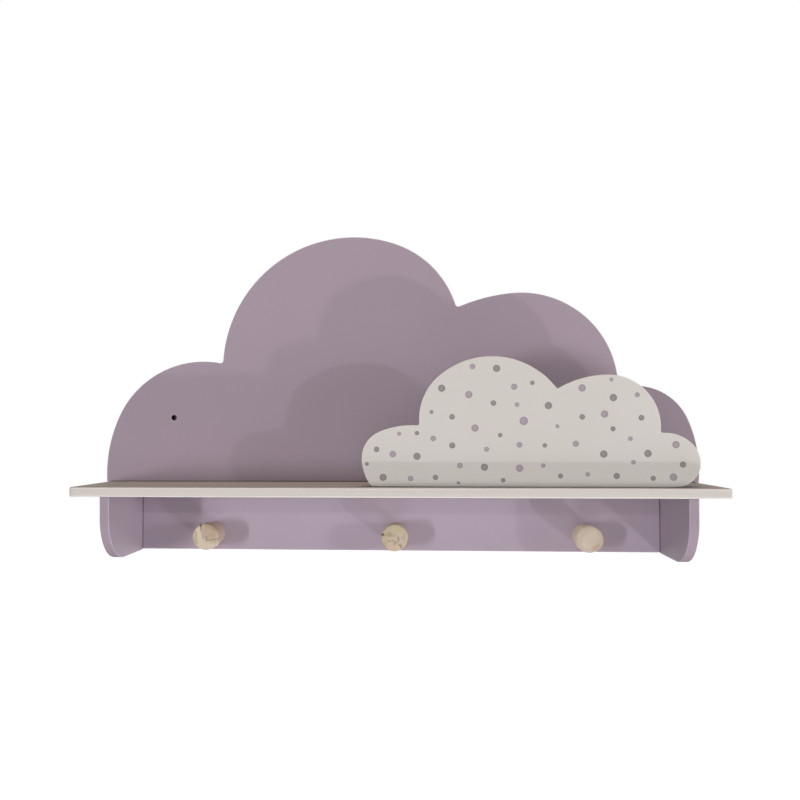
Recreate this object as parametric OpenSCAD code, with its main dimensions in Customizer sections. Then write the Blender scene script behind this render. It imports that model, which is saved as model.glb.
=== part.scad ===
// Wall shelf with a cloud-shaped back panel, a small cloud in front and three pegs.
// Millimetres. X runs along the shelf, Y back to the wall, Z up.
// The origin lies midway between the two wall-screw holes, on the face that meets the wall.

/* [Shelf board] */
// Length of the shelf board
shelf_w = 600; // [520:5:720]
// Depth of the shelf board, from the back panel to its front edge
shelf_d = 105; // [90:1:150]
// Thickness of the shelf board
shelf_t = 9; // [8:0.5:15]
// Radius of the two front corners, seen from above
shelf_corner_r = 4; // [1:0.5:20]

/* [Back panel] */
// Thickness of the back panel
panel_t = 9; // [8:0.5:15]
// How far the panel's widest point stands out past each end of the shelf board
panel_overhang = 4; // [0:0.5:20]
// Height of the panel, from the bottom of the rail to the top of the highest puff
panel_h = 323.5; // [280:0.5:380]
// Height of the rail, the strip of panel below the shelf board
rail_h = 61.5; // [55:0.5:90]
// Radius of the notches between the panel's puffs
panel_notch_r = 3; // [1:0.5:8]
// Radius of the panel's two bottom corners
panel_corner_r = 3; // [1:0.5:8]

/* [Wall holes] */
// Diameter of each wall-screw hole
wall_hole_d = 5; // [4:0.1:8]
// Distance between the two wall-screw holes
wall_hole_spacing = 464; // [400:16:480]
// Height of the holes above the top of the shelf board
wall_hole_rise = 66.5; // [40:0.5:90]

/* [Brackets] */
// Thickness of each bracket
bracket_t = 9; // [8:0.5:15]
// Distance from the end of the shelf board to a bracket's outer face
bracket_inset = 26; // [20:1:60]
// Distance from the shelf board's front edge back to a bracket's front edge
bracket_setback = 10; // [0:1:30]
// How far the brackets reach below the bottom of the rail
bracket_drop = 1; // [0:0.5:4]
// Radius of a bracket's lower front corner
bracket_corner_r = 42; // [10:1:50]

/* [Small cloud] */
// Thickness of the small cloud
cloud_t = 9; // [8:0.5:15]
// Width of the small cloud
cloud_w = 308; // [240:1:400]
// Height of the small cloud
cloud_h = 120.5; // [90:0.5:160]
// Distance from the shelf board's right-hand end to the small cloud's widest point
cloud_end_gap = 20.5; // [5:0.5:60]
// Distance from the shelf board's front edge back to the small cloud's front face
cloud_setback = 22; // [5:1:40]
// Radius of the notches between the small cloud's puffs
cloud_notch_r = 2; // [1:0.5:5]
// Radius of the small cloud's two bottom corners
cloud_corner_r = 5; // [1:0.5:8]

/* [Pegs] */
// Diameter of the straight front part of each peg
peg_d = 26.5; // [20:0.5:32]
// Diameter of its foot, against the rail
peg_foot_d = 23; // [18:0.5:30]
// Length of each peg in front of the rail
peg_len = 35; // [26:1:60]
// Length of its straight front part, from which it tapers to the foot
peg_grip_len = 12; // [6:1:20]
// Distance between the centres of neighbouring pegs
peg_spacing = 189; // [150:0.5:210]
// Height of the pegs' centres above the bottom of the rail
peg_rise = 17; // [16:0.5:40]
// Radius of the rounded front edge of each peg
peg_edge_r = 1.6; // [0.5:0.1:5]

/* [Screws] */
// Diameter of the screws that join the boards
board_screw_d = 3; // [2.5:0.1:3.5]
// Diameter of their countersunk heads
board_head_d = 6; // [5:0.1:7]
// How deep they reach into the edge of the second board
board_screw_bite = 20; // [12:1:28]
// Number of screws along the rear edge of the shelf board
shelf_screw_count = 5; // [3:1:9]
// Distance from the shelf board's ends to its outermost rear screws
shelf_screw_inset = 62; // [50:1:90]
// Distance from a bracket's top and bottom edges to its rear screws
bracket_screw_inset = 16; // [10:1:22]
// Clear space between the rear screws' points and the screw down into a bracket
screw_crossing_gap = 5; // [2:0.5:15]
// Distance from the small cloud's ends to its outermost screws
cloud_screw_inset = 48; // [30:1:80]
// Number of screws up into the small cloud
cloud_screw_count = 3; // [2:1:5]
// Diameter of the screws that hold the pegs
peg_screw_d = 4; // [3:0.1:5]
// Diameter of their countersunk heads
peg_head_d = 8; // [6:0.1:9]
// How deep they reach into a peg
peg_screw_bite = 20; // [12:1:22]
// How far every screw head lies below the face that it is driven into
head_sink = 0.3; // [0.1:0.1:0.8]
// Depth of the cross slot in a screw head, as a share of the screw's diameter
slot_depth_share = 0.45; // [0.3:0.05:0.6]

/* [Dowels] */
// Diameter of the dowel between the shelf board and each bracket
dowel_d = 5; // [4:0.5:6]
// How deep a dowel reaches up into the shelf board
dowel_up = 5.5; // [4:0.5:6]
// How deep a dowel reaches down into a bracket
dowel_down = 14; // [8:1:20]
// Distance from a bracket's front edge back to its dowel
dowel_setback = 20; // [10:1:40]

/* [Hidden] */

$fn = 64;

// Puffs of the back panel from left to right, in the panel's standard size. Each is
// [across from the left edge, up from the shelf top, left radius, right radius,
//  direction in which its two arcs join]
panel_puffs = [[143.5, 8, 143.5, 98.5, 155.5],
               [259.5, 117.5, 135.5, 99.5, 70.5],
               [440, 9.5, 184, 98, 95.5],
               [547, 41.5, 55.5, 130, 23.5]];
// Radii that carry the panel's two outer puffs down past the shelf board
panel_foot_r = [148, 150];

// Puffs of the small cloud, in the same form
cloud_puffs = [[26.5, 26.5, 26.5, 77, 113],
               [105.5, 63, 52, 74, 132],
               [227, 12, 91, 47.5, 92],
               [277, 16.5, 33, 24.5, 39]];
// Radii that turn the small cloud's outer puffs in to its flat bottom
cloud_foot_r = [43, 22];

// An arc has a point every arc_chord, and at least one every arc_turn degrees
arc_chord = 5;
arc_turn = 15;
half_turn = 180;

screw_fit = 0.05;    // gap round every screw and dowel
tip_gap = 1;         // depth of a hole past the point of its screw or the end of its dowel
cut_past = 1;        // how far a cut runs out of the face that it starts from
slot_share = 0.6;    // length of the cross slot, as a share of the head's diameter
slot_w_share = 0.16; // its width

shelf_top = -wall_hole_rise;
shelf_under = shelf_top - shelf_t;
rail_bottom = shelf_under - rail_h;
panel_front = -panel_t;
shelf_front = panel_front - shelf_d;

panel_w = shelf_w + 2 * panel_overhang;
panel_drop = shelf_t + rail_h;
panel_rise = panel_h - panel_drop;

bracket_d = shelf_d - bracket_setback;
bracket_h = rail_h + bracket_drop;
bracket_x = shelf_w / 2 - bracket_inset - bracket_t / 2;
bracket_front = panel_front - bracket_d;

cloud_front = shelf_front + cloud_setback;
cloud_x = shelf_w / 2 - cloud_end_gap - cloud_w / 2;

peg_z = rail_bottom + peg_rise;

edge_screw_len = panel_t + board_screw_bite - head_sink;
down_screw_len = shelf_t + board_screw_bite - head_sink;
peg_screw_len = panel_t + peg_screw_bite - head_sink;
top_screw_y = panel_front - board_screw_bite - screw_crossing_gap;
dowel_y = bracket_front + dowel_setback;

shelf_screw_span = shelf_w - 2 * shelf_screw_inset;
cloud_screw_span = cloud_w - 2 * cloud_screw_inset;

lilac = "#a3909f";
chalk = "#d3cdc6";
beech = "#cbb899";
zinc = "#b4b6b8";

// Outlines

function angle_of(v) = atan2(v[1], v[0]);
function whole_angle_of(v) = (angle_of(v) + 360) % 360;
function left_centre(puff) = [puff[0], puff[1]];
function right_centre(puff) =
    left_centre(puff) + (puff[2] - puff[3]) * [cos(puff[4]), sin(puff[4])];

// Points along an arc, without its last one, which the next arc starts from
function arc(centre, r, from, to) =
    let (turn = abs(to - from),
         steps = max(1, ceil(turn / arc_turn), ceil(turn * PI / half_turn * r / arc_chord)))
    [for (i = [0 : steps - 1])
        let (a = from + (to - from) * i / steps)
        centre + r * [cos(a), sin(a)]];

// Centre of the circle of radius r that rests in the notch between two circles
function notch_centre(a, ra, b, rb, r) =
    let (apart = norm(b - a),
         along = (pow(apart, 2) + pow(ra + r, 2) - pow(rb + r, 2)) / (2 * apart),
         up = sqrt(pow(ra + r, 2) - pow(along, 2)),
         u = (b - a) / apart)
    a + along * u + up * [-u[1], u[0]];

function notch_after(puffs, i, r) =
    notch_centre(right_centre(puffs[i]), puffs[i][3],
                 left_centre(puffs[i + 1]), puffs[i + 1][2], r);

// One puff: its left arc, its right arc, and the rounded notch that follows it
function puff_points(puffs, i, notch_r) =
    let (puff = puffs[i],
         last = i == len(puffs) - 1,
         from = i == 0 ? half_turn
              : whole_angle_of(notch_after(puffs, i - 1, notch_r) - left_centre(puff)),
         notch = last ? [0, 0] : notch_after(puffs, i, notch_r),
         to = last ? 0 : angle_of(notch - right_centre(puff)),
         next_from = last ? 0 : whole_angle_of(notch - left_centre(puffs[i + 1])))
    concat(arc(left_centre(puff), puff[2], from, puff[4]),
           arc(right_centre(puff), puff[3], puff[4], to),
           last ? [] : arc(notch, notch_r, half_turn + to, half_turn + next_from));

// Centre of the rounded bottom corner inside a foot arc, on the side given by -1 or 1
function corner_centre(foot, foot_r, bottom, r, side) =
    [foot[0] + side * sqrt(max(0, pow(foot_r - r, 2) - pow(bottom + r - foot[1], 2))),
     bottom + r];

// A cloud with a flat bottom, in its standard size, from its lower left corner round
function cloud_points(puffs, foot_r, bottom, notch_r, corner_r) =
    let (first = puffs[0],
         ending = puffs[len(puffs) - 1],
         left_foot = [first[0] - first[2] + foot_r[0], first[1]],
         right_end = right_centre(ending) + [ending[3], 0],
         right_foot = right_end - [foot_r[1], 0],
         left_corner = corner_centre(left_foot, foot_r[0], bottom, corner_r, -1),
         right_corner = corner_centre(right_foot, foot_r[1], bottom, corner_r, 1),
         left_turn = whole_angle_of(left_corner - left_foot),
         right_turn = angle_of(right_corner - right_foot))
    concat(arc(left_corner, corner_r, 270, left_turn),
           arc(left_foot, foot_r[0], left_turn, half_turn),
           [for (i = [0 : len(puffs) - 1]) each puff_points(puffs, i, notch_r)],
           arc(right_foot, foot_r[1], 0, right_turn),
           arc(right_corner, corner_r, right_turn, -90),
           [[right_corner[0], bottom]]);

// The same points stretched to a width and, above the shelf top, to a height
function fitted(points, w, h) =
    let (xs = [for (p = points) p[0]],
         middle = (min(xs) + max(xs)) / 2,
         across = w / (max(xs) - min(xs)),
         up = h / max([for (p = points) p[1]]))
    [for (p = points) [(p[0] - middle) * across, p[1] > 0 ? p[1] * up : p[1]]];

// Places of fasteners

function spread(count, span) = [for (i = [0 : count - 1]) span * (i / (count - 1) - 0.5)];

shelf_screw_xs = spread(shelf_screw_count, shelf_screw_span);
cloud_screw_xs = [for (x = spread(cloud_screw_count, cloud_screw_span)) cloud_x + x];
bracket_xs = [-bracket_x, bracket_x];
bracket_screw_zs = [rail_bottom + bracket_screw_inset, shelf_under - bracket_screw_inset];
peg_xs = [-peg_spacing, 0, peg_spacing];

// Building blocks

// A board that stands up: its outline is drawn in X and Z, and it grows forwards from y
module upright(y, t)
    translate([0, y, 0])
        rotate([90, 0, 0])
            linear_extrude(height = t)
                children();

// What is cut from a flat outline's lower left corner to round it
module outside_corner(r)
    difference() {
        translate([-cut_past, -cut_past])
            square(r + cut_past);
        translate([r, r])
            circle(r = r);
    }

// A countersunk wood screw that points along +Z, with its head's face at z = 0
module screw(d, head_d, length)
    difference() {
        union() {
            cylinder(d1 = head_d, d2 = d, h = (head_d - d) / 2);
            cylinder(d = d, h = length - d);
            translate([0, 0, length - d])
                cylinder(d1 = d, d2 = d / 4, h = d);
        }
        for (turn = [0, 90])
            rotate(turn)
                cube([head_d * slot_share, head_d * slot_w_share, 2 * d * slot_depth_share],
                     center = true);
    }

// The hole that such a screw fills, open at z = 0
module screw_hole(d, head_d, length) {
    translate([0, 0, -cut_past])
        cylinder(d = head_d + 2 * screw_fit, h = cut_past + screw_fit);
    translate([0, 0, screw_fit])
        cylinder(d1 = head_d + 2 * screw_fit, d2 = d + 2 * screw_fit, h = (head_d - d) / 2);
    cylinder(d = d + 2 * screw_fit, h = length + tip_gap);
}

// Children that point along +Z are turned to point forwards, from just inside the wall face
module from_wall(x, z)
    translate([x, -head_sink, z])
        rotate([90, 0, 0])
            children();

module at_shelf_screws()
    for (x = shelf_screw_xs)
        from_wall(x, shelf_top - shelf_t / 2)
            children();

module at_bracket_back_screws()
    for (x = bracket_xs, z = bracket_screw_zs)
        from_wall(x, z)
            children();

module at_peg_screws()
    for (x = peg_xs)
        from_wall(x, peg_z)
            children();

module at_bracket_top_screws()
    for (x = bracket_xs)
        translate([x, top_screw_y, shelf_top - head_sink])
            rotate([180, 0, 0])
                children();

module at_cloud_screws()
    for (x = cloud_screw_xs)
        translate([x, cloud_front + cloud_t / 2, shelf_under + head_sink])
            children();

module at_dowels()
    for (x = bracket_xs)
        translate([x, dowel_y, shelf_under])
            children();

module board_screw(length)
    screw(board_screw_d, board_head_d, length);

module board_screw_hole(length)
    screw_hole(board_screw_d, board_head_d, length);

module dowel_hole()
    translate([0, 0, -dowel_down - tip_gap])
        cylinder(d = dowel_d + 2 * screw_fit, h = dowel_down + dowel_up + 2 * tip_gap);

// Pieces

module back_panel()
    color(lilac)
        difference() {
            upright(0, panel_t)
                translate([0, shelf_top])
                    polygon(fitted(cloud_points(panel_puffs, panel_foot_r, -panel_drop,
                                                panel_notch_r, panel_corner_r),
                                   panel_w, panel_rise));
            for (side = [-1, 1])
                translate([side * wall_hole_spacing / 2, cut_past, 0])
                    rotate([90, 0, 0])
                        cylinder(d = wall_hole_d, h = panel_t + 2 * cut_past);
            at_shelf_screws()
                board_screw_hole(edge_screw_len);
            at_bracket_back_screws()
                board_screw_hole(edge_screw_len);
            at_peg_screws()
                screw_hole(peg_screw_d, peg_head_d, peg_screw_len);
        }

module shelf_board()
    color(chalk)
        difference() {
            translate([-shelf_w / 2, shelf_front, shelf_under])
                linear_extrude(height = shelf_t)
                    difference() {
                        square([shelf_w, shelf_d]);
                        outside_corner(shelf_corner_r);
                        translate([shelf_w, 0])
                            mirror([1, 0])
                                outside_corner(shelf_corner_r);
                    }
            at_shelf_screws()
                board_screw_hole(edge_screw_len);
            at_bracket_top_screws()
                board_screw_hole(down_screw_len);
            at_cloud_screws()
                board_screw_hole(down_screw_len);
            at_dowels()
                dowel_hole();
        }

module bracket(x)
    color(lilac)
        difference() {
            translate([x - bracket_t / 2, bracket_front, rail_bottom - bracket_drop])
                rotate([90, 0, 90])
                    linear_extrude(height = bracket_t)
                        difference() {
                            square([bracket_d, bracket_h]);
                            outside_corner(bracket_corner_r);
                        }
            at_bracket_back_screws()
                board_screw_hole(edge_screw_len);
            at_bracket_top_screws()
                board_screw_hole(down_screw_len);
            at_dowels()
                dowel_hole();
        }

module front_cloud()
    color(chalk)
        difference() {
            upright(cloud_front + cloud_t, cloud_t)
                translate([cloud_x, shelf_top])
                    polygon(fitted(cloud_points(cloud_puffs, cloud_foot_r, 0,
                                                cloud_notch_r, cloud_corner_r),
                                   cloud_w, cloud_h));
            at_cloud_screws()
                board_screw_hole(down_screw_len);
        }

module peg(x)
    color(beech)
        difference() {
            translate([x, panel_front, peg_z])
                rotate([90, 0, 0])
                    rotate_extrude() {
                        polygon([[0, 0],
                                 [peg_foot_d / 2, 0],
                                 [peg_d / 2, peg_len - peg_grip_len],
                                 [peg_d / 2, peg_len - peg_edge_r],
                                 [peg_d / 2 - peg_edge_r, peg_len],
                                 [0, peg_len]]);
                        translate([peg_d / 2 - peg_edge_r, peg_len - peg_edge_r])
                            circle(r = peg_edge_r);
                    }
            at_peg_screws()
                screw_hole(peg_screw_d, peg_head_d, peg_screw_len);
        }

module peg_screws()
    color(zinc)
        at_peg_screws()
            screw(peg_screw_d, peg_head_d, peg_screw_len);

module shelf_screws()
    color(zinc)
        at_shelf_screws()
            board_screw(edge_screw_len);

module bracket_back_screws()
    color(zinc)
        at_bracket_back_screws()
            board_screw(edge_screw_len);

module bracket_top_screws()
    color(zinc)
        at_bracket_top_screws()
            board_screw(down_screw_len);

module cloud_screws()
    color(zinc)
        at_cloud_screws()
            board_screw(down_screw_len);

module bracket_dowels()
    color(beech)
        at_dowels()
            translate([0, 0, -dowel_down])
                cylinder(d = dowel_d, h = dowel_down + dowel_up);

back_panel();
shelf_board();
bracket(-bracket_x);  // bracket_left
bracket(bracket_x);  // bracket_right
front_cloud();
peg(-peg_spacing);  // peg_left
peg(0);  // peg_centre
peg(peg_spacing);  // peg_right
peg_screws();
shelf_screws();
bracket_back_screws();
bracket_top_screws();
cloud_screws();
bracket_dowels();
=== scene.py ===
import math

import bmesh
import bpy
from mathutils import Matrix, Vector


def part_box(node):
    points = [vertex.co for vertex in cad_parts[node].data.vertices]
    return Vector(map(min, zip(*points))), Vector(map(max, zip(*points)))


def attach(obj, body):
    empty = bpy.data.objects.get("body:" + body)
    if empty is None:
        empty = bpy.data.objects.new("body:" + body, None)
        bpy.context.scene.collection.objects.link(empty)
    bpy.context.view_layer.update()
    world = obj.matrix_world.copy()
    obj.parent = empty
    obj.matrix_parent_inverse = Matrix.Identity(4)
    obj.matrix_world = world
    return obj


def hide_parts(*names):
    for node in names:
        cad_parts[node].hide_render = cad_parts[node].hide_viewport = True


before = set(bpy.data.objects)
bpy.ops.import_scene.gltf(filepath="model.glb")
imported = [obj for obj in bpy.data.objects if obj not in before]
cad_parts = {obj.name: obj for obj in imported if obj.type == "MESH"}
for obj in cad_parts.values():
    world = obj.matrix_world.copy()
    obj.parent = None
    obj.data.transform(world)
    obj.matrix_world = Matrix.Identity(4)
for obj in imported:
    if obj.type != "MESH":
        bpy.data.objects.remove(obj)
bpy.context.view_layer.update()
mm = 0.001


# Small tools


def linearColour(hexColour):  # sRGB hex to the linear colour that a socket takes
    parts = [int(hexColour[i:i + 2], 16) / 255 for i in (1, 3, 5)]
    return [c / 12.92 if c <= 0.04045 else ((c + 0.055) / 1.055) ** 2.4 for c in parts] + [1.0]


def addNode(tree, kind, settings=None, links=None):  # one node with its settings and what feeds it
    node = tree.nodes.new(kind)
    for key, value in (settings or {}).items():
        if isinstance(key, str) and hasattr(node, key):
            setattr(node, key, value)
        else:
            node.inputs[key].default_value = value
    for key, source in (links or {}).items():
        tree.links.new(source, node.inputs[key])
    return node


def newMaterial(name):
    material = bpy.data.materials.new(name)
    material.use_nodes = True
    material.node_tree.nodes.clear()
    return material, material.node_tree


def closeMaterial(tree, shader):
    addNode(tree, "ShaderNodeOutputMaterial", links={"Surface": shader})


def coated(tree, colour, mask, hexColour):  # hexColour covers the colour where the mask is 1
    if isinstance(mask, str):  # the name of a mask that the piece's mesh carries
        mask = addNode(tree, "ShaderNodeAttribute", {"attribute_name": mask}).outputs["Fac"]
    return addNode(tree, "ShaderNodeMix", {"data_type": "RGBA", 7: linearColour(hexColour)},
                   {0: mask, 6: colour}).outputs[2]


def meshObject(name, mesh):
    made = bpy.data.objects.new(name, mesh)
    bpy.context.scene.collection.objects.link(made)
    return made


def settle(made):  # live modifiers become plain mesh
    graph = bpy.context.evaluated_depsgraph_get()
    mesh = bpy.data.meshes.new_from_object(made.evaluated_get(graph), depsgraph=graph)
    made.modifiers.clear()
    made.data = mesh
    mesh.name = made.name


print("tools ready")


# Places that the solids give

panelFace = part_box("back_panel")[0][1]
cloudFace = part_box("front_cloud")[0][1]
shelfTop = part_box("shelf_board")[1][2]
pegBoxes = {node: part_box(node) for node in ("peg_left", "peg_centre", "peg_right")}
pegMiddles = [((low[0] + high[0]) / 2, (low[2] + high[2]) / 2) for low, high in pegBoxes.values()]


# Camera, at the photograph's place

cameraSetup = {
    "place": (0.0323, -0.8714, -0.0198),
    "turn": (math.pi / 2 + 0.022, 0.002, 0.072),
    "lens": 37.76,
    "sensor": 36.0,
    "shiftX": 0.0419,
    "shiftY": 0.0222,
}
cameraData = bpy.data.cameras.new("camera")
cameraData.sensor_width = cameraSetup["sensor"]
cameraData.lens = cameraSetup["lens"]
cameraData.shift_x = cameraSetup["shiftX"]
cameraData.shift_y = cameraSetup["shiftY"]
camera = bpy.data.objects.new("camera", cameraData)
camera.location = cameraSetup["place"]
camera.rotation_euler = cameraSetup["turn"]
bpy.context.scene.collection.objects.link(camera)
bpy.context.scene.camera = camera
bpy.context.scene.view_settings.view_transform = "Standard"
print("camera ready")


# Floor, world and lamps

stageSetup = {
    "floorHeight": -2.6,
    "floorHalf": 30.0,
    "floorColour": "#f4f3f1",
    "nearGlow": 0.62,  # what a camera ray sees on top of the lit floor, near the object
    "farGlow": 1.0,
    "nearReach": 0.5,
    "farReach": 1.25,
    "skyColour": "#ffffff",
    "ambient": 0.094,
}
holeSetup = {
    "acrossMm": 5.0,
    "spacingMm": 464.0,
    "shadeDeepMm": 8.4,  # how deep in each wall hole the shaded wall stands
    "shadeColour": "#7a6c66",
    "shadeShare": 0.99,  # of the hole's width, so that the disc clears its sides
    "segments": 32,
}
wallHoles = [(side * holeSetup["spacingMm"] / 2 * mm, 0.0) for side in (-1, 1)]
lampSetup = {  # place, width and height in metres, power in watts
    "lowRight": {"place": (2.60, -2.13, -2.24), "size": (0.08, 0.08), "power": 25.7, "tint": "#ffffff"},
    "levelRight": {"place": (2.14, -1.345, 0.03), "size": (0.05, 0.05), "power": 9.6, "tint": "#ffffff"},
    "broadRight": {"place": (1.50, -0.90, 0.0), "size": (0.6, 0.6), "power": 3.9, "tint": "#ffffff"},
    "underRight": {"place": (1.20, -0.30, -0.90), "size": (0.4, 0.4), "power": 3.7, "tint": "#ffffff"},
    "broadLeft": {"place": (-1.52, -1.97, -0.22), "size": (0.15, 0.7), "power": 21.3, "tint": "#ffffff"},
    "above": {"place": (0.0, -1.559, 0.255), "size": (0.05, 0.05), "power": 2.1, "tint": "#ffffff"},
    "overhead": {"place": (0.0, -0.60, 1.70), "size": (0.6, 0.6), "power": 4.9, "tint": "#ffd4a6"},
    "below": {"place": (0.0, -0.90, -1.20), "size": (0.8, 0.8), "power": 2.5, "tint": "#ffffff"},
    "front": {"place": (0.0, -2.20, -0.25), "size": (1.4, 1.4), "power": 5.2, "tint": "#ffffff"},
    "behind": {"place": (0.2, 1.7, -0.5), "size": (1.2, 1.2), "power": 16.0, "tint": "#ffffff"},
}
lampAim = (0.0, 0.0, 0.0)


def whitenedRays(tree):  # 1 for the rays that see the stage as a picture, 0 for those that light the object
    path = addNode(tree, "ShaderNodeLightPath")
    mirrored = addNode(tree, "ShaderNodeMath", {"operation": "MAXIMUM"},
                       {0: path.outputs["Is Glossy Ray"], 1: path.outputs["Is Transmission Ray"]})
    seen = addNode(tree, "ShaderNodeMath", {"operation": "MAXIMUM"},
                   {0: path.outputs["Is Camera Ray"], 1: mirrored.outputs[0]})
    return seen.outputs[0]


world = bpy.data.worlds.new("world")
world.use_nodes = True
worldTree = world.node_tree
worldTree.nodes.clear()
skyStrength = addNode(worldTree, "ShaderNodeMapRange", {"To Min": stageSetup["ambient"], "To Max": 1.0},
                      {"Value": whitenedRays(worldTree)})
sky = addNode(worldTree, "ShaderNodeBackground", {"Color": linearColour(stageSetup["skyColour"])},
              {"Strength": skyStrength.outputs["Result"]})
addNode(worldTree, "ShaderNodeOutputWorld", links={"Surface": sky.outputs[0]})
bpy.context.scene.world = world

floorMesh = bpy.data.meshes.new("floor")
floorHalf = stageSetup["floorHalf"]
floorMesh.from_pydata([(x, y, stageSetup["floorHeight"]) for x, y in
                       ((-floorHalf, -floorHalf), (floorHalf, -floorHalf),
                        (floorHalf, floorHalf), (-floorHalf, floorHalf))], [], [(0, 1, 2, 3)])
floor = meshObject("floor", floorMesh)
floorMaterial, floorTree = newMaterial("paleFloor")
floorLit = addNode(floorTree, "ShaderNodeBsdfDiffuse", {"Color": linearColour(stageSetup["floorColour"])})
floorPlace = addNode(floorTree, "ShaderNodeTexCoord").outputs["Object"]
floorAway = addNode(floorTree, "ShaderNodeVectorMath", {"operation": "LENGTH"}, {0: floorPlace})
glowHere = addNode(floorTree, "ShaderNodeMapRange",
                   {"From Min": stageSetup["nearReach"], "From Max": stageSetup["farReach"],
                    "To Min": stageSetup["nearGlow"], "To Max": stageSetup["farGlow"]},
                   {"Value": floorAway.outputs["Value"]})
glowShare = addNode(floorTree, "ShaderNodeMath", {"operation": "MULTIPLY"},
                    {0: whitenedRays(floorTree), 1: glowHere.outputs["Result"]})
floorGlow = addNode(floorTree, "ShaderNodeEmission", {"Color": linearColour(stageSetup["skyColour"])},
                    {"Strength": glowShare.outputs[0]})
floorSum = addNode(floorTree, "ShaderNodeAddShader", links={0: floorLit.outputs[0], 1: floorGlow.outputs[0]})
closeMaterial(floorTree, floorSum.outputs[0])
floorMesh.materials.append(floorMaterial)

shadeMaterial, shadeTree = newMaterial("shadedWall")  # the wall in shadow, as each empty hole shows it
shadeDiffuse = addNode(shadeTree, "ShaderNodeBsdfDiffuse", {"Color": linearColour(holeSetup["shadeColour"])})
closeMaterial(shadeTree, shadeDiffuse.outputs[0])
for across, up in wallHoles:
    disc = bmesh.new()
    bmesh.ops.create_circle(disc, cap_ends=True, segments=holeSetup["segments"],
                            radius=holeSetup["acrossMm"] / 2 * holeSetup["shadeShare"] * mm)
    bmesh.ops.rotate(disc, verts=disc.verts, matrix=Matrix.Rotation(math.pi / 2, 3, "X"))
    bmesh.ops.translate(disc, verts=disc.verts,
                        vec=(across, panelFace + holeSetup["shadeDeepMm"] * mm, up))
    discMesh = bpy.data.meshes.new("shadedWall")
    disc.to_mesh(discMesh)
    disc.free()
    discMesh.materials.append(shadeMaterial)
    meshObject("shadedWall", discMesh)

for lampName, lamp in lampSetup.items():
    lampData = bpy.data.lights.new(lampName, "AREA")
    lampData.shape = "ELLIPSE"
    lampData.size, lampData.size_y = lamp["size"]
    lampData.energy = lamp["power"]
    lampData.color = linearColour(lamp["tint"])[:3]
    lampObject = bpy.data.objects.new(lampName, lampData)
    lampObject.location = lamp["place"]
    lampTurn = (Vector(lampAim) - Vector(lamp["place"])).to_track_quat("-Z", "Y")
    lampObject.rotation_euler = lampTurn.to_euler()
    lampObject.visible_camera = False
    bpy.context.scene.collection.objects.link(lampObject)
print("stage ready")


# Painted boards

paintSetup = {
    "stippleMm": 2.6,  # a foam roller leaves about 1 mm, drawn coarser so that it shows
    "stippleDetail": 3.0,
    "stippleRoughness": 0.55,
    "stippleDepthMm": 0.012,
    "stippleStrength": 0.6,
    "cloudingMm": 70.0,
    "cloudingDetail": 2.0,
    "cloudingRoughness": 0.4,
    "sheenFrom": 0.3,  # the stipple's heights at which the paint is shiniest and dullest
    "sheenTo": 0.7,
    "roughLow": 0.64,
    "roughHigh": 0.72,
    "roughEdge": 0.74,  # the cut edge of MDF drinks the paint and dries duller
    "roughBore": 0.9,
    "ior": 1.3,  # the stipple breaks up most of the sheen
}
# rim: a painted highlight on the eased edges and in the screw holes' walls
lilacPaint = {"face": "#ac9cab", "clouded": "#a899a7", "edge": "#a493a0", "rim": "#bdafbb",
              "jointShadeMm": 1.5, "jointShadeShare": 1.0,
              "holeShadeRingMm": (2.95, 2.7)}  # painted shade: the holes' dark carried out to a ring round each wall hole
chalkPaint = {"face": "#d6d2cf", "clouded": "#d2cdc9", "edge": "#d2ccc7", "rim": "#e7e2de",
              "jointShadeMm": 0.5, "jointShadeShare": 1.0}
shelfPaint = dict(chalkPaint, jointShadeMm=15.0, jointShadeShare=0.9,  # painted shade along the board's joints and on the strip before the small cloud
                  footMm=40.0, footShadeShare=0.9, footShadeBehindMm=(3.0, 1.0))
boreShadeColour = "#1e1715"  # raw MDF in the wall holes, darkened to near black as their painted shade
# painted shade where pieces meet, from ambient occlusion: its colour, and the occlusion over which it fades
# in
jointShadeSetup = {"colour": "#33292b", "open": 0.93, "shut": 0.5, "samples": 12,
              "pegClearMm": (13.0, 16.0)}  # no painted joint shade this close round each peg


def paintedJointShade(tree, colour, reachMm, strength, mask=None):  # painted shade: darkens where two pieces meet, as far as ambient occlusion reaches
    near = addNode(tree, "ShaderNodeAmbientOcclusion", {"samples": jointShadeSetup["samples"],
                                                        "Distance": reachMm * mm})
    share = addNode(tree, "ShaderNodeMapRange",
                    {"From Min": jointShadeSetup["open"], "From Max": jointShadeSetup["shut"], "To Max": strength},
                    {"Value": near.outputs["AO"]}).outputs["Result"]
    if mask:
        share = addNode(tree, "ShaderNodeMath", {"operation": "MULTIPLY"}, {0: share, 1: mask}).outputs[0]
    return coated(tree, colour, share, jointShadeSetup["colour"])


def fromPoints(tree, place, points, zeroMm, oneMm):  # 0 to 1 by the distance from the nearest point
    flat = addNode(tree, "ShaderNodeVectorMath", {"operation": "MULTIPLY", 1: (1.0, 0.0, 1.0)}, {0: place})
    nearest = None
    for x, z in points:
        away = addNode(tree, "ShaderNodeVectorMath", {"operation": "DISTANCE", 1: (x, 0.0, z)},
                       {0: flat.outputs[0]}).outputs["Value"]
        if nearest:
            away = addNode(tree, "ShaderNodeMath", {"operation": "MINIMUM"}, {0: nearest, 1: away}).outputs[0]
        nearest = away
    return addNode(tree, "ShaderNodeMapRange", {"From Min": zeroMm * mm, "From Max": oneMm * mm},
                   {"Value": nearest}).outputs["Result"]


# 1 on the strip before the small cloud, 0 past its face; both distances are counted back from the face
def inFrontOfCloud(tree, place, zeroMm, oneMm):
    along = addNode(tree, "ShaderNodeSeparateXYZ", links={0: place})
    return addNode(tree, "ShaderNodeMapRange",
                   {"From Min": cloudFace + zeroMm * mm, "From Max": cloudFace + oneMm * mm},
                   {"Value": along.outputs["Y"]}).outputs["Result"]


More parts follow.
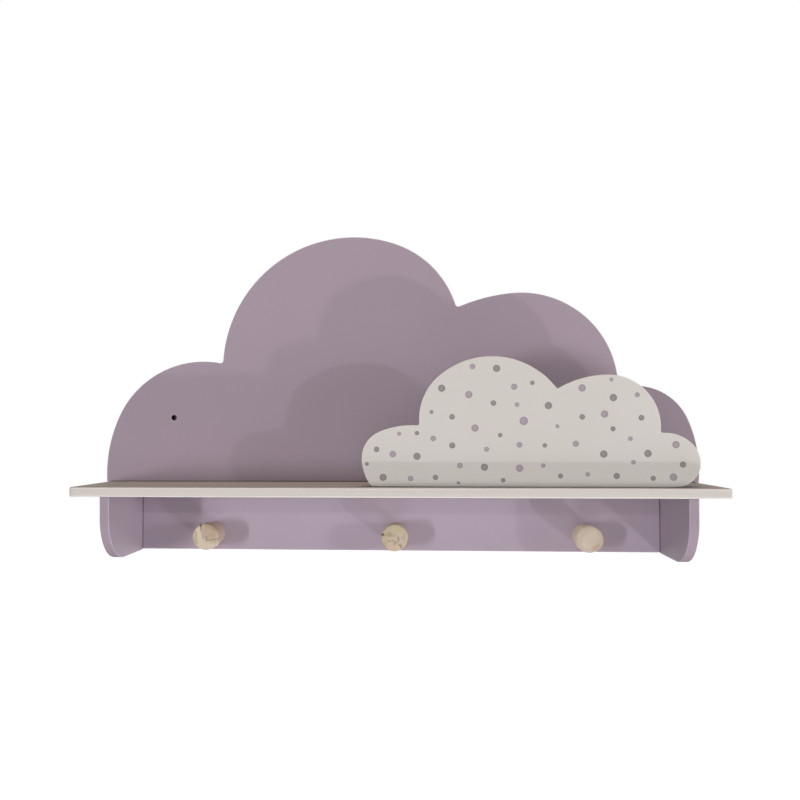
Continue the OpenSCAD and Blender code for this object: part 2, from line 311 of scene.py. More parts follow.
def paintColour(tree, place, paint):  # clouded face, cut edges, paler rims as a painted highlight, painted shade at the joints and round the wall holes, raw MDF in the wall holes darkened by painted shade
    clouding = addNode(tree, "ShaderNodeTexNoise",
                       {"Scale": 1 / (paintSetup["cloudingMm"] * mm), "Detail": paintSetup["cloudingDetail"],
                        "Roughness": paintSetup["cloudingRoughness"]}, {"Vector": place})
    colour = addNode(tree, "ShaderNodeMix", {"data_type": "RGBA", 6: linearColour(paint["face"]),
                                             7: linearColour(paint["clouded"])},
                     {0: clouding.outputs["Fac"]}).outputs[2]
    colour = coated(tree, colour, "boardEdge", paint["edge"])
    # painted shade, reaching further, on the strip before the small cloud's foot
    if "footMm" in paint:
        colour = paintedJointShade(tree, colour, paint["footMm"], paint["footShadeShare"],
                           inFrontOfCloud(tree, place, *paint["footShadeBehindMm"]))
    # painted highlight on the eased rims
    colour = coated(tree, colour, "easedRim", paint["rim"])
    colour = paintedJointShade(tree, colour, paint["jointShadeMm"], paint["jointShadeShare"],
                       fromPoints(tree, place, pegMiddles, *jointShadeSetup["pegClearMm"]))
    # painted shade round each wall hole
    if "holeShadeRingMm" in paint:
        colour = coated(tree, colour, fromPoints(tree, place, wallHoles, *paint["holeShadeRingMm"]), boreShadeColour)
    # painted highlight on the screw holes' walls
    colour = coated(tree, colour, "highlitScrewHole", paint["rim"])
    return coated(tree, colour, "rawShadedBore", boreShadeColour)


def paintedMdf(name, paint):  # rolled eggshell acrylic on MDF: hardly any sheen, fine stipple, dull cut edges
    material, tree = newMaterial(name)
    place = addNode(tree, "ShaderNodeTexCoord").outputs["Object"]
    stipple = addNode(tree, "ShaderNodeTexNoise",
                      {"Scale": 1 / (paintSetup["stippleMm"] * mm), "Detail": paintSetup["stippleDetail"],
                       "Roughness": paintSetup["stippleRoughness"]}, {"Vector": place})
    roughness = addNode(tree, "ShaderNodeMapRange",
                        {"From Min": paintSetup["sheenFrom"], "From Max": paintSetup["sheenTo"],
                         "To Min": paintSetup["roughLow"], "To Max": paintSetup["roughHigh"]},
                        {"Value": stipple.outputs["Fac"]}).outputs["Result"]
    for maskName, duller in (("boardEdge", paintSetup["roughEdge"]), ("rawShadedBore", paintSetup["roughBore"])):
        mask = addNode(tree, "ShaderNodeAttribute", {"attribute_name": maskName})
        roughness = addNode(tree, "ShaderNodeMix", {"data_type": "FLOAT", 3: duller},
                            {0: mask.outputs["Fac"], 2: roughness}).outputs[0]
    bump = addNode(tree, "ShaderNodeBump", {"Strength": paintSetup["stippleStrength"],
                                            "Distance": paintSetup["stippleDepthMm"] * mm},
                   {"Height": stipple.outputs["Fac"]})
    shader = addNode(tree, "ShaderNodeBsdfPrincipled", {"IOR": paintSetup["ior"]},
                     {"Base Color": paintColour(tree, place, paint), "Roughness": roughness,
                      "Normal": bump.outputs["Normal"]})
    closeMaterial(tree, shader.outputs[0])
    return material


lilacMaterial = paintedMdf("lilacEggshellPaintOnMdf", lilacPaint)
chalkMaterial = paintedMdf("chalkEggshellPaintOnMdf", chalkPaint)
shelfMaterial = paintedMdf("chalkEggshellPaintOnShelf", shelfPaint)

boardSetup = {
    "easeSteps": 4,
    "easeProfile": 0.5,
    "fastenerClearMm": 1.3,  # rims of screw and dowel holes stay crisp
    "holeClearMm": 0.05,
    "mergeMm": 0.01,
    "flatAngle": 0.6,
    "sharpAngle": 34.0,
    "cutBelow": 0.9,  # a face that points less than this along the board's thickness is a cut edge
    "rimAbove": 0.05,  # and between these two it is part of the eased rim
    "rimBelow": 0.995,
    "normalWeight": 100,
}
boards = [
    # piece, its CAD node, the axis through its thickness, round of its outer edges in mm,
    # material, record slot
    ("backPanel", "back_panel", 1, 0.7, lilacMaterial, "lilac_mdf"),
    ("shelfBoard", "shelf_board", 2, 1.3, shelfMaterial, "chalk_mdf"),
    ("bracketLeft", "bracket_left", 0, 0.7, lilacMaterial, "lilac_mdf"),
    ("bracketRight", "bracket_right", 0, 0.7, lilacMaterial, "lilac_mdf"),
    ("smallCloud", "front_cloud", 1, 0.8, chalkMaterial, "chalk_mdf"),
]
fastenerNodes = ["peg_screws", "shelf_screws", "bracket_back_screws", "bracket_top_screws",
                 "cloud_screws", "bracket_dowels"]


def welded(node):  # a copy of a CAD node with its loose triangles joined
    work = bmesh.new()
    work.from_mesh(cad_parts[node].data)
    bmesh.ops.remove_doubles(work, verts=work.verts, dist=boardSetup["mergeMm"] * mm)
    return work


def islandBoxes(node):  # box of each loose solid of a node, grown by the clear distance
    work = welded(node)
    grow = Vector((1, 1, 1)) * boardSetup["fastenerClearMm"] * mm
    left = set(work.verts)
    boxes = []
    while left:
        island = [left.pop()]
        for vert in island:
            for edge in vert.link_edges:
                other = edge.other_vert(vert)
                if other in left:
                    left.remove(other)
                    island.append(other)
        lowest = Vector([min(v.co[k] for v in island) for k in range(3)]) - grow
        highest = Vector([max(v.co[k] for v in island) for k in range(3)]) + grow
        boxes.append((lowest, highest))
    work.free()
    return boxes


fastenerBoxes = [box for node in fastenerNodes for box in islandBoxes(node)]


def nearFastener(point):
    return any(all(low[k] <= point[k] <= high[k] for k in range(3)) for low, high in fastenerBoxes)


def onShelf(point):  # the small cloud's foot is cut square, so that it stands without a gap
    return abs(point[2] - shelfTop) < boardSetup["mergeMm"] * mm


def inWallHole(point):
    across = abs(point[0]) - holeSetup["spacingMm"] / 2 * mm
    return math.hypot(across, point[2]) < (holeSetup["acrossMm"] / 2 + boardSetup["holeClearMm"]) * mm


def markBoardFaces(work, node, thinAxis):  # masks that tell the paint what each face is
    masks = {name: work.faces.layers.float.new(name)
             for name in ("boardEdge", "easedRim", "rawShadedBore", "highlitScrewHole")}
    for face in work.faces:
        along = abs(face.normal[thinAxis])
        cut = along < boardSetup["cutBelow"]
        face[masks["boardEdge"]] = float(cut)
        face[masks["easedRim"]] = float(boardSetup["rimAbove"] < along < boardSetup["rimBelow"])
        face[masks["rawShadedBore"]] = float(node == "back_panel" and all(inWallHole(v.co) for v in face.verts))
        face[masks["highlitScrewHole"]] = float(cut and all(nearFastener(v.co) for v in face.verts))
        face.smooth = True


def easedBoard(name, node, thinAxis, easeMm, material, slot):
    work = welded(node)
    bmesh.ops.dissolve_limit(work, angle_limit=math.radians(boardSetup["flatAngle"]),
                             verts=work.verts, edges=work.edges)
    sharp = [e for e in work.edges if len(e.link_faces) == 2
             and e.calc_face_angle(0.0) > math.radians(boardSetup["sharpAngle"])
             and not nearFastener((e.verts[0].co + e.verts[1].co) / 2)
             and not inWallHole(e.verts[0].co)
             and not (node == "front_cloud" and all(onShelf(v.co) for v in e.verts))]
    bmesh.ops.bevel(work, geom=sharp, offset=easeMm * mm, offset_type="OFFSET", affect="EDGES",
                    segments=boardSetup["easeSteps"], profile=boardSetup["easeProfile"], clamp_overlap=True)
    markBoardFaces(work, node, thinAxis)
    mesh = bpy.data.meshes.new(name)
    work.to_mesh(mesh)
    work.free()
    for layer in ("custom_normal", "sharp_face", "sharp_edge"):
        if layer in mesh.attributes:
            mesh.attributes.remove(mesh.attributes[layer])
    mesh.set_sharp_from_angle(angle=math.radians(boardSetup["sharpAngle"]))
    mesh.materials.clear()
    mesh.materials.append(material)
    made = meshObject(name, mesh)
    weighted = made.modifiers.new("weighted", "WEIGHTED_NORMAL")
    weighted.keep_sharp = True
    weighted.weight = boardSetup["normalWeight"]
    settle(made)
    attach(made, "root")
    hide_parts(node)


for piece in boards:
    easedBoard(*piece)
print("boards ready")


# Wooden pegs

woodSetup = {
    "early": "#c6b5a4",
    "late": "#b2a08c",
    "pale": "#d2c2b3",
    "tan": "#ac9680",
    "side": "#c2a898",  # the turned side browns more than the sawn end
    # painted light: a paler side for a peg whose side falls in shade
    "litSide": "#e6d6c2",
    "sideShare": 0.85,
    "dark": "#5d4937",
    "olive": "#a89f78",
    "warm": "#d3b296",
    "pink": "#c99d8e",
    # painted shade where the peg meets the panel
    "jointShadeMm": 1.0,
    "jointShadeShare": 0.2,
    "ringMm": 2.3,
    "ringShare": 0.45,
    "ringWander": 7.0,
    "ringDetail": 2.0,
    "ringDetailScale": 1.1,
    "waveTurn": 20.0,  # the wave texture turns this many radians over a length of 1
    "blotchMm": 5.0,
    "blotchDetail": 2.0,
    "blotchRoughness": 0.6,
    "blotchFrom": 0.48,
    "blotchTo": 0.68,
    "blotchShare": 0.7,
    "raySpacingMm": 1.1,
    "rayRadiusMm": 20.0,  # how far from the tree's heart the rays stand that far apart
    "rayDetail": 1.0,
    "rayFrom": 0.55,
    "rayTo": 0.8,
    "rayShare": 0.35,
    "poreMm": 0.45,
    "poreStretch": 0.05,  # along the fibre, pores run out to long streaks
    "poreDetail": 2.0,
    "poreFrom": 0.52,
    "poreTo": 0.75,
    "poreShare": 0.4,
    "poreDepthMm": 0.06,
    "poreStrength": 0.5,
    "roughLow": 0.55,
    "roughHigh": 0.72,
    "ior": 1.45,
}
markKinds = ("pale", "tan", "warm", "pink", "olive", "dark")  # each drawn over the ones before it


def ringsAndBlotches(tree, place):  # growth rings in two browns, under paler blotches
    rings = addNode(tree, "ShaderNodeTexWave",
                    {"wave_type": "RINGS", "rings_direction": "Z",
                     "Scale": 2 * math.pi / (woodSetup["waveTurn"] * woodSetup["ringMm"] * mm),
                     "Distortion": woodSetup["ringWander"], "Detail": woodSetup["ringDetail"],
                     "Detail Scale": woodSetup["ringDetailScale"]}, {"Vector": place})
    ringShare = addNode(tree, "ShaderNodeMapRange", {"To Max": woodSetup["ringShare"]},
                        {"Value": rings.outputs["Fac"]})
    colour = addNode(tree, "ShaderNodeMix", {"data_type": "RGBA", 6: linearColour(woodSetup["early"]),
                                             7: linearColour(woodSetup["late"])},
                     {0: ringShare.outputs["Result"]}).outputs[2]
    blotches = addNode(tree, "ShaderNodeTexNoise",
                       {"Scale": 1 / (woodSetup["blotchMm"] * mm), "Detail": woodSetup["blotchDetail"],
                        "Roughness": woodSetup["blotchRoughness"]}, {"Vector": place})
    blotchShare = addNode(tree, "ShaderNodeMapRange",
                          {"From Min": woodSetup["blotchFrom"], "From Max": woodSetup["blotchTo"],
                           "To Max": woodSetup["blotchShare"]}, {"Value": blotches.outputs["Fac"]})
    return coated(tree, colour, blotchShare.outputs["Result"], woodSetup["pale"])


def raysFromHeart(tree, place, colour):  # fine darker rays, which run out from the tree's heart
    parts = addNode(tree, "ShaderNodeSeparateXYZ", links={0: place})
    angle = addNode(tree, "ShaderNodeMath", {"operation": "ARCTAN2"},
                    {0: parts.outputs["Y"], 1: parts.outputs["X"]})
    rays = addNode(tree, "ShaderNodeTexNoise",
                   {"noise_dimensions": "1D", "Detail": woodSetup["rayDetail"],
                    "Scale": woodSetup["rayRadiusMm"] / woodSetup["raySpacingMm"]}, {"W": angle.outputs[0]})
    rayShare = addNode(tree, "ShaderNodeMapRange",
                       {"From Min": woodSetup["rayFrom"], "From Max": woodSetup["rayTo"],
                        "To Max": woodSetup["rayShare"]}, {"Value": rays.outputs["Fac"]})
    return coated(tree, colour, rayShare.outputs["Result"], woodSetup["late"])


def brownedOrLitSide(tree, colour):  # the turned side, browned or painted paler as if lit, and then the whole peg's own tan
    browned = addNode(tree, "ShaderNodeAttribute", {"attribute_name": "browned"})
    sideColour = addNode(tree, "ShaderNodeMix",
                         {"data_type": "RGBA", 6: linearColour(woodSetup["litSide"]),
                          7: linearColour(woodSetup["side"])}, {0: browned.outputs["Fac"]})
    turnedSide = addNode(tree, "ShaderNodeAttribute", {"attribute_name": "turnedSide"})
    onSide = addNode(tree, "ShaderNodeMath", {"operation": "MULTIPLY", 1: woodSetup["sideShare"]},
                     {0: turnedSide.outputs["Fac"]})
    colour = addNode(tree, "ShaderNodeMix", {"data_type": "RGBA"},
                     {0: onSide.outputs[0], 6: colour, 7: sideColour.outputs[2]}).outputs[2]
    return coated(tree, colour, "woodTone", woodSetup["tan"])


def bareBeech(name, turned):  # unfinished beech: matt, growth rings and rays on the end, streaks on the side
    material, tree = newMaterial(name)
    if turned:
        place = addNode(tree, "ShaderNodeAttribute", {"attribute_name": "woodPlace"}).outputs["Vector"]
    else:
        place = addNode(tree, "ShaderNodeTexCoord").outputs["Object"]
    stretched = addNode(tree, "ShaderNodeMapping", {"Scale": (1.0, 1.0, woodSetup["poreStretch"])},
                        {"Vector": place})
    pores = addNode(tree, "ShaderNodeTexNoise", {"Scale": 1 / (woodSetup["poreMm"] * mm),
                                                 "Detail": woodSetup["poreDetail"]},
                    {"Vector": stretched.outputs[0]})
    poreShare = addNode(tree, "ShaderNodeMapRange",
                        {"From Min": woodSetup["poreFrom"], "From Max": woodSetup["poreTo"],
                         "To Max": woodSetup["poreShare"]}, {"Value": pores.outputs["Fac"]})
    colour = raysFromHeart(tree, place, ringsAndBlotches(tree, place))
    colour = coated(tree, colour, poreShare.outputs["Result"], woodSetup["side"])
    if turned:
        colour = brownedOrLitSide(tree, colour)
        for mark in markKinds:
            colour = coated(tree, colour, mark + "Mark", woodSetup[mark])
    colour = paintedJointShade(tree, colour, woodSetup["jointShadeMm"], woodSetup["jointShadeShare"])
    roughness = addNode(tree, "ShaderNodeMapRange", {"To Min": woodSetup["roughLow"],
                                                     "To Max": woodSetup["roughHigh"]},
                        {"Value": pores.outputs["Fac"]})
    bump = addNode(tree, "ShaderNodeBump", {"Strength": woodSetup["poreStrength"],
                                            "Distance": woodSetup["poreDepthMm"] * mm},
                   {"Height": pores.outputs["Fac"]})
    shader = addNode(tree, "ShaderNodeBsdfPrincipled", {"IOR": woodSetup["ior"]},
                     {"Base Color": colour, "Roughness": roughness.outputs["Result"],
                      "Normal": bump.outputs["Normal"]})
    closeMaterial(tree, shader.outputs[0])
    return material


pegSetup = {  # lengths in millimetres, as the solids have them
    "footMm": 23.0,  # across the peg at the panel, from where it widens up to its grip
    "gripMm": 12.0,
    "edgeMm": 1.6,
    "boreMm": 4.1,
    "boreDepthMm": 21.0,
    "segments": 144,
    "taperRings": 6,
    "edgeRings": 6,
    "faceRings": 40,
    "splitMm": 0.45,  # depth of the darkest cracks
    "splitInsetMm": 0.01,  # cracks start this far past the foot of the rounded edge
    "sideOfEdge": 0.5,  # half of the rounded edge browns with the side
    "markReach": 1.5,  # a mark ends at this many half widths
    "markCore": 0.5,  # and stays whole over this share of that reach
    "sharpAngle": 50.0,
}
pegs = [
    # piece, its CAD node, the tree's heart from the peg's middle, how tan its wood is,
    # how brown its side rather than its painted lit side, marks on its face
    ("pegLeft", "peg_left", (21.0, 9.0), 0.35, 0.8, [
        # kind, half width, strength, line as (across, up) from the middle
        ("pale", 4.0, 0.7, [(-7.5, 6.0), (-8.0, -2.0), (-3.0, -9.5), (6.0, -9.0)]),
        ("tan", 6.0, 0.75, [(2.5, 8.5), (5.5, 4.0)]),
        ("dark", 0.9, 0.95, [(-5.1, 12.9), (-4.9, 10.6)]),
        ("dark", 0.8, 0.5, [(-4.8, 10.2), (-4.6, 7.2)]),
        ("dark", 0.9, 0.2, [(-4.6, 7.2), (-3.6, 2.9), (-2.3, -1.7)]),
        ("dark", 0.7, 0.42, [(1.0, 0.2), (1.0, -3.2)]),
        ("dark", 0.8, 0.34, [(1.0, -3.3), (5.5, -3.3), (9.0, -2.6), (13.4, -1.9)]),
        # painted shade along the upper right of the rounded edge
        ("dark", 2.2, 0.22, [(1.4, 12.4), (6.0, 10.8), (9.8, 8.0)]),
        ("olive", 1.3, 0.75, [(-9.8, 4.8), (-9.9, -1.7), (-9.0, -6.1)]),
        ("olive", 0.9, 0.5, [(5.2, -5.8), (9.5, -4.9)]),
        ("warm", 2.6, 0.15, [(-2.0, -9.6), (4.0, -10.2)]),
    ]),
    ("pegCentre", "peg_centre", (-14.0, -19.0), 0.25, 0.6, [
        ("dark", 1.1, 1.0, [(-12.2, 3.3), (-11.4, 3.3)]),
        ("dark", 1.9, 0.25, [(-5.6, 4.2), (-4.2, 3.4)]),
        ("dark", 0.8, 0.25, [(-1.2, 2.4), (0.4, 2.0)]),
        ("dark", 0.8, 0.42, [(3.5, 0.6), (3.9, -2.6)]),
        ("dark", 0.8, 0.36, [(-5.9, -2.6), (-5.0, -3.0)]),
        ("dark", 0.7, 0.3, [(-2.2, -2.0), (-0.8, -2.6)]),
        ("dark", 0.7, 0.38, [(0.0, -4.4), (2.8, -4.0)]),
        ("dark", 0.6, 0.3, [(-0.2, -6.3), (0.2, -5.9)]),
        ("dark", 0.8, 0.55, [(5.1, -6.5), (6.5, -9.2)]),
        ("olive", 1.6, 0.85, [(-10.5, 2.7), (-4.0, 2.9)]),
        ("olive", 1.4, 0.8, [(-10.0, -4.5), (-9.4, -8.5)]),
        ("olive", 1.2, 0.6, [(9.6, 4.5), (8.9, -0.5)]),
        ("olive", 1.6, 0.6, [(-3.6, 10.3), (-2.8, 10.3)]),
        ("olive", 5.5, 0.4, [(-5.0, 7.0), (1.0, 8.0)]),
        ("olive", 3.0, 0.35, [(-8.5, 1.0), (-8.5, -2.0)]),
        ("warm", 2.2, 0.4, [(-3.9, -10.2), (5.6, -10.2)]),
    ]),
    ("pegRight", "peg_right", (9.0, -7.0), 0.0, 0.0, [
        ("pale", 6.0, 0.8, [(-1.0, -2.0), (3.0, 2.0)]),
        ("olive", 1.2, 0.3, [(7.2, -5.2), (9.2, -5.4)]),
        ("olive", 1.2, 0.4, [(-5.0, 11.5), (2.0, 11.5)]),
        ("pink", 1.1, 0.75, [(3.2, -8.6), (9.2, -6.6)]),
    ]),
]


def pegProfile(length, radius):  # each ring's radius and its distance out from the panel, in millimetres
    foot, grip, edge = pegSetup["footMm"] / 2, pegSetup["gripMm"], pegSetup["edgeMm"]
    bore, boreDepth = pegSetup["boreMm"] / 2, pegSetup["boreDepthMm"]
    rings = [(bore, boreDepth), (bore, 0.0), (foot, 0.0)]
    for i in range(1, pegSetup["taperRings"] + 1):
        share = i / pegSetup["taperRings"]
        rings.append((foot + (radius - foot) * share, (length - grip) * share))
    for i in range(pegSetup["edgeRings"] + 1):
        turn = math.pi / 2 * i / pegSetup["edgeRings"]
        rings.append((radius - edge + edge * math.cos(turn), length - edge + edge * math.sin(turn)))
    for i in range(1, pegSetup["faceRings"]):
        rings.append(((radius - edge) * (1 - i / pegSetup["faceRings"]), length))
    return rings


def ringPoints(rings, length):  # the bottom of the bore, the rings' points, the middle of the face
    count = pegSetup["segments"]
    points = [(0.0, 0.0, pegSetup["boreDepthMm"])]
    for radius, out in rings:
        for k in range(count):
            turn = 2 * math.pi * k / count
            points.append((radius * math.cos(turn), radius * math.sin(turn), out))
    points.append((0.0, 0.0, length))
    return points


def ringFaces(ringCount):  # quads between the rings and a fan at each end
    count = pegSetup["segments"]
    lastRing = 1 + (ringCount - 1) * count
    faces = []
    for k in range(count):
        after = (k + 1) % count
        faces.append((0, 1 + after, 1 + k))
        for inner in range(1, lastRing, count):
            outer = inner + count
            faces.append((inner + k, inner + after, outer + after, outer + k))
        faces.append((lastRing + k, lastRing + after, lastRing + count))
    return faces


def distanceToLine(point, line):  # shortest way from a point to a run of straight pieces
    best = math.inf
    for start, end in zip(line, line[1:]):
        runX, runY = end[0] - start[0], end[1] - start[1]
        toX, toY = point[0] - start[0], point[1] - start[1]
        share = min(1.0, max(0.0, (toX * runX + toY * runY) / (runX ** 2 + runY ** 2)))
        best = min(best, math.hypot(toX - share * runX, toY - share * runY))
    return best


def markStrength(point, kind, marks):
    strongest = 0.0
    for markKind, half, strength, line in marks:
        if markKind == kind:
            nearness = max(0.0, 1.0 - distanceToLine(point, line) / (pegSetup["markReach"] * half))
            strongest = max(strongest, strength * min(1.0, nearness / (1.0 - pegSetup["markCore"])))
    return strongest


def turnedPeg(name, node, heart, tone, browned, marks, material):
    lowest, highest = pegBoxes[node]
    middle = [(lowest[k] + highest[k]) / 2 for k in range(3)]
    length = (highest[1] - lowest[1]) / mm
    rings = pegProfile(length, (highest[0] - lowest[0]) / 2 / mm)
    local = ringPoints(rings, length)
    edgeFoot = length - pegSetup["edgeMm"]
    masks = {kind + "Mark": [markStrength((across, up), kind, marks)
                             if out > edgeFoot - pegSetup["gripMm"] / 2 else 0.0
                             for across, up, out in local] for kind in markKinds}
    places = []
    for (across, up, out), split in zip(local, masks["darkMark"]):
        sink = pegSetup["splitMm"] * split if out > edgeFoot + pegSetup["splitInsetMm"] else 0.0
        places.append((middle[0] + across * mm, highest[1] - (out - sink) * mm, middle[2] + up * mm))
    sideEnd = length - pegSetup["sideOfEdge"] * pegSetup["edgeMm"]
    masks["turnedSide"] = [1.0 if out < sideEnd else 0.0 for across, up, out in local]
    masks["woodTone"] = [tone] * len(local)
    masks["browned"] = [browned] * len(local)
    mesh = bpy.data.meshes.new(name)
    mesh.from_pydata(places, [], ringFaces(len(rings)))
    for maskName, values in masks.items():
        mesh.attributes.new(maskName, "FLOAT", "POINT").data.foreach_set("value", values)
    wood = [c * mm for across, up, out in local for c in (across - heart[0], up - heart[1], out + heart[0])]
    mesh.attributes.new("woodPlace", "FLOAT_VECTOR", "POINT").data.foreach_set("vector", wood)
    work = bmesh.new()
    work.from_mesh(mesh)
    bmesh.ops.recalc_face_normals(work, faces=work.faces)
    for face in work.faces:
        face.smooth = True
    work.to_mesh(mesh)
    work.free()
    mesh.set_sharp_from_angle(angle=math.radians(pegSetup["sharpAngle"]))
    mesh.materials.append(material)
    made = meshObject(name, mesh)
    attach(made, "root")
    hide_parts(node)


turnedMaterial = bareBeech("bareTurnedBeech", True)
for peg in pegs:
    turnedPeg(*peg, turnedMaterial)
print("pegs ready")


# Printed dots on the small cloud

dotSetup = {
    "proudMm": 0.05,
    "sunkMm": 0.03,
    "segments": 40,
    "discRadius": 0.5,  # of the disc that every dot is scaled from
    "rough": 0.5,
    "speckMm": 0.5,
    "speckDetail": 2.0,
    "wearFrom": 0.45,  # the paint below starts to show at this height of the speckle
    "wearTo": 0.9,
    "wearShare": 0.25,
    "rimFrom": 0.6,  # share of the radius at which the thicker rim of the ink starts
}
dotColours = {"lilac": ("#a1929f", "#8a7f85"), "grey": ("#84807c", "#716d69")}  # ink and its thicker rim
dotPlaces = {  # across from the middle of the shelf, up from its top, diameter, in millimetres
    "lilac": [
        (74.5, 111, 5), (112.5, 92, 5.5), (71, 85, 6.5), (115, 75.5, 4), (121, 60.5, 7.5), (76.5, 54, 6.5),
        (6.5, 49, 3.5), (38, 44.5, 5), (117, 38.5, 5), (87, 34.5, 4.5), (0.5, 30, 6), (62.5, 19.5, 5),
        (117, 17, 6.5), (17, 7.5, 5), (174, 90.5, 6.5), (200.5, 98, 3.5), (223.5, 84, 4.5),
        (194, 66.5, 6.5), (151.5, 55.5, 3.5), (217, 44, 4), (168, 39.5, 5.5), (257.5, 38.5, 6.5),
        (138.5, 19.5, 4), (219.5, 22.5, 4), (178.5, 11.5, 4), (255, 9, 6.5),
    ],
    "grey": [
        (96.5, 109, 6.5), (46, 91, 6.5), (93.5, 77, 5), (36.5, 69, 3.5), (55.5, 64.5, 5), (99.5, 47.5, 4),
        (55.5, 38, 5.5), (23, 49.5, 4), (-14.5, 34.5, 5), (23, 28, 6.5), (-23.5, 21, 3.5), (85, 18, 6.5),
        (-8.5, 8.5, 6.5), (40, 8.5, 5), (61, 3.5, 3), (102, 6, 4), (129, 95.5, 4), (143.5, 74.5, 6.5),
        (202, 81.5, 6.5), (174, 64, 5), (227, 63, 5), (201.5, 53, 4.5), (140, 38, 4), (193, 30, 6.5),
        (232.5, 30.5, 6.5), (263.5, 20.5, 5.5), (154, 10, 4.5), (204.5, 10, 5.5), (237, 8, 4.5),
    ],
}


def screenInk(name, hexColour, rimColour):  # matt screen ink: flat, speckled by the mesh, thicker at its rim
    material, tree = newMaterial(name)
    place = addNode(tree, "ShaderNodeTexCoord").outputs["Object"]
    speck = addNode(tree, "ShaderNodeTexNoise", {"Scale": 1 / (dotSetup["speckMm"] * mm),
                                                 "Detail": dotSetup["speckDetail"]}, {"Vector": place})
    worn = addNode(tree, "ShaderNodeMapRange",
                   {"From Min": dotSetup["wearFrom"], "From Max": dotSetup["wearTo"],
                    "To Max": dotSetup["wearShare"]}, {"Value": speck.outputs["Fac"]})
    colour = addNode(tree, "ShaderNodeMix", {"data_type": "RGBA", 6: linearColour(hexColour),
                                             7: linearColour(chalkPaint["face"])},
                     {0: worn.outputs["Result"]}).outputs[2]
    fromMiddle = addNode(tree, "ShaderNodeAttribute", {"attribute_name": "inkRim"})
    rim = addNode(tree, "ShaderNodeMapRange", {"From Min": dotSetup["rimFrom"]},
                  {"Value": fromMiddle.outputs["Fac"]})
    colour = coated(tree, colour, rim.outputs["Result"], rimColour)
    shader = addNode(tree, "ShaderNodeBsdfPrincipled", {"Roughness": dotSetup["rough"]},
                     {"Base Color": colour})
    closeMaterial(tree, shader.outputs[0])
    return material


def dotGroup():  # one flat disc on every point, as wide as the point's own diameter
    group = bpy.data.node_groups.new("printedDots", "GeometryNodeTree")
    group.interface.new_socket("Points", in_out="INPUT", socket_type="NodeSocketGeometry")
    group.interface.new_socket("Thickness", in_out="INPUT", socket_type="NodeSocketFloat")
    group.interface.new_socket("Segments", in_out="INPUT", socket_type="NodeSocketInt")
    group.interface.new_socket("Ink", in_out="INPUT", socket_type="NodeSocketMaterial")
    group.interface.new_socket("Dots", in_out="OUTPUT", socket_type="NodeSocketGeometry")
    given = addNode(group, "NodeGroupInput")
    disc = addNode(group, "GeometryNodeMeshCylinder",
                   {"fill_type": "TRIANGLE_FAN", "Radius": dotSetup["discRadius"]},
                   {"Vertices": given.outputs["Segments"], "Depth": given.outputs["Thickness"]})
    perRadius = 1 / dotSetup["discRadius"]
    flatPlace = addNode(group, "ShaderNodeVectorMath",
                        {"operation": "MULTIPLY", 1: (perRadius, perRadius, 0.0)},
                        {0: addNode(group, "GeometryNodeInputPosition").outputs[0]})
    fromMiddle = addNode(group, "ShaderNodeVectorMath", {"operation": "LENGTH"}, {0: flatPlace.outputs[0]})
    measured = addNode(group, "GeometryNodeStoreNamedAttribute", {"Name": "inkRim"},
                       {"Geometry": disc.outputs["Mesh"], "Value": fromMiddle.outputs["Value"]})
    size = addNode(group, "GeometryNodeInputNamedAttribute", {"Name": "dotSize"})
    scale = addNode(group, "ShaderNodeCombineXYZ", {"Z": 1.0},
                    {"X": size.outputs["Attribute"], "Y": size.outputs["Attribute"]})
    placed = addNode(group, "GeometryNodeInstanceOnPoints", {"Rotation": (math.pi / 2, 0.0, 0.0)},
                     {"Points": given.outputs["Points"], "Instance": measured.outputs[0],
                      "Scale": scale.outputs[0]})
    real = addNode(group, "GeometryNodeRealizeInstances", links={0: placed.outputs[0]})
    inked = addNode(group, "GeometryNodeSetMaterial",
                    links={"Geometry": real.outputs[0], "Material": given.outputs["Ink"]})
    addNode(group, "NodeGroupOutput", links={"Dots": inked.outputs[0]})
    return group


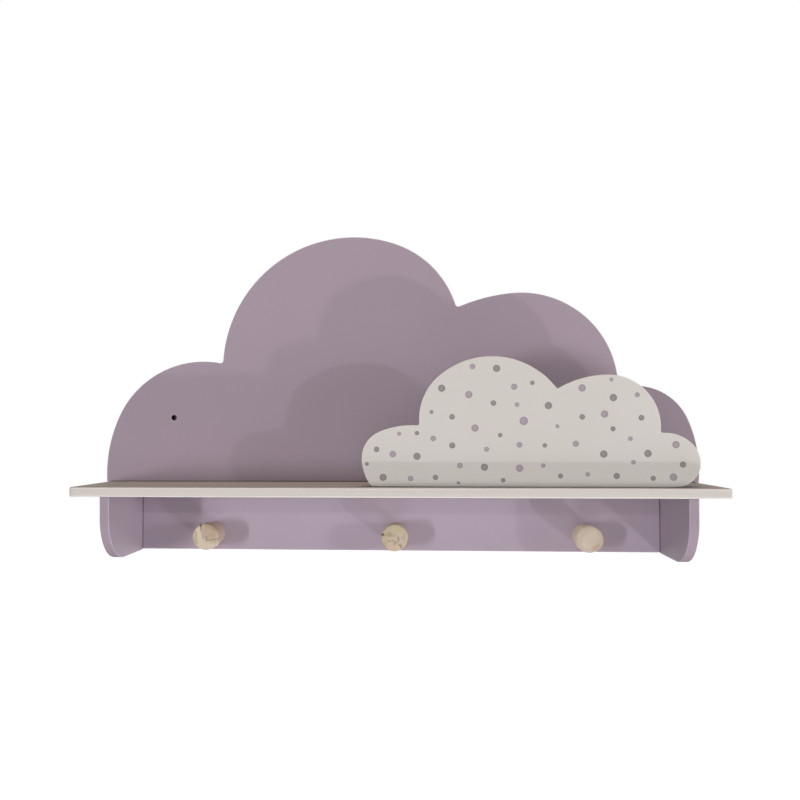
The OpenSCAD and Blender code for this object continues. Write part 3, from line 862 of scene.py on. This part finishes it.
def printedDots(name, places, material, group):
    thickness = (dotSetup["proudMm"] + dotSetup["sunkMm"]) * mm
    middle = cloudFace - dotSetup["proudMm"] * mm + thickness / 2
    mesh = bpy.data.meshes.new(name)
    mesh.from_pydata([(x * mm, middle, shelfTop + up * mm) for x, up, size in places], [], [])
    sizes = mesh.attributes.new("dotSize", "FLOAT", "POINT")
    sizes.data.foreach_set("value", [size * mm for x, up, size in places])
    made = meshObject(name, mesh)
    maker = made.modifiers.new("dots", "NODES")
    maker.node_group = group
    values = {"Thickness": thickness, "Segments": dotSetup["segments"], "Ink": material}
    for item in group.interface.items_tree:
        if item.in_out == "INPUT" and item.name in values:
            maker[item.identifier] = values[item.name]
    settle(made)
    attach(made, "root")


printing = dotGroup()
for colourName, places in dotPlaces.items():
    ink = screenInk(colourName + "ScreenInk", *dotColours[colourName])
    printedDots(colourName + "Dots", places, ink, printing)
print("dots ready")


# Screws and dowels

zincSetup = {"colour": "#b9bbbd", "smearMm": 0.8, "smearDetail": 2.0, "roughLow": 0.26, "roughHigh": 0.44}
lacquerSetup = {"colour": "#efebe7", "rough": 0.4}


def zincPlatedSteel(name):  # bright zinc on drawn steel: pale grey metal with a slightly streaky shine
    material, tree = newMaterial(name)
    place = addNode(tree, "ShaderNodeTexCoord").outputs["Object"]
    smear = addNode(tree, "ShaderNodeTexNoise", {"Scale": 1 / (zincSetup["smearMm"] * mm),
                                                 "Detail": zincSetup["smearDetail"]}, {"Vector": place})
    roughness = addNode(tree, "ShaderNodeMapRange", {"To Min": zincSetup["roughLow"],
                                                     "To Max": zincSetup["roughHigh"]},
                        {"Value": smear.outputs["Fac"]})
    shader = addNode(tree, "ShaderNodeBsdfPrincipled",
                     {"Base Color": linearColour(zincSetup["colour"]), "Metallic": 1.0},
                     {"Roughness": roughness.outputs["Result"]})
    closeMaterial(tree, shader.outputs[0])
    return material


def dress(node, material):  # a CAD node that stays gets its real material
    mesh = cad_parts[node].data
    mesh.materials.clear()
    mesh.materials.append(material)


def whiteLacqueredSteel(name):  # baked white lacquer on the screws that show: clean, soft shine
    material, tree = newMaterial(name)
    shader = addNode(tree, "ShaderNodeBsdfPrincipled",
                     {"Base Color": linearColour(lacquerSetup["colour"]), "Roughness": lacquerSetup["rough"]})
    closeMaterial(tree, shader.outputs[0])
    return material


zincMaterial = zincPlatedSteel("brightZincPlatedSteel")
lacquerMaterial = whiteLacqueredSteel("whiteLacqueredSteel")
for screwNode in fastenerNodes[:-1]:
    dress(screwNode, lacquerMaterial if screwNode == "bracket_top_screws" else zincMaterial)
dress(fastenerNodes[-1], bareBeech("bareBeechDowel", False))
print("screws and dowels ready")
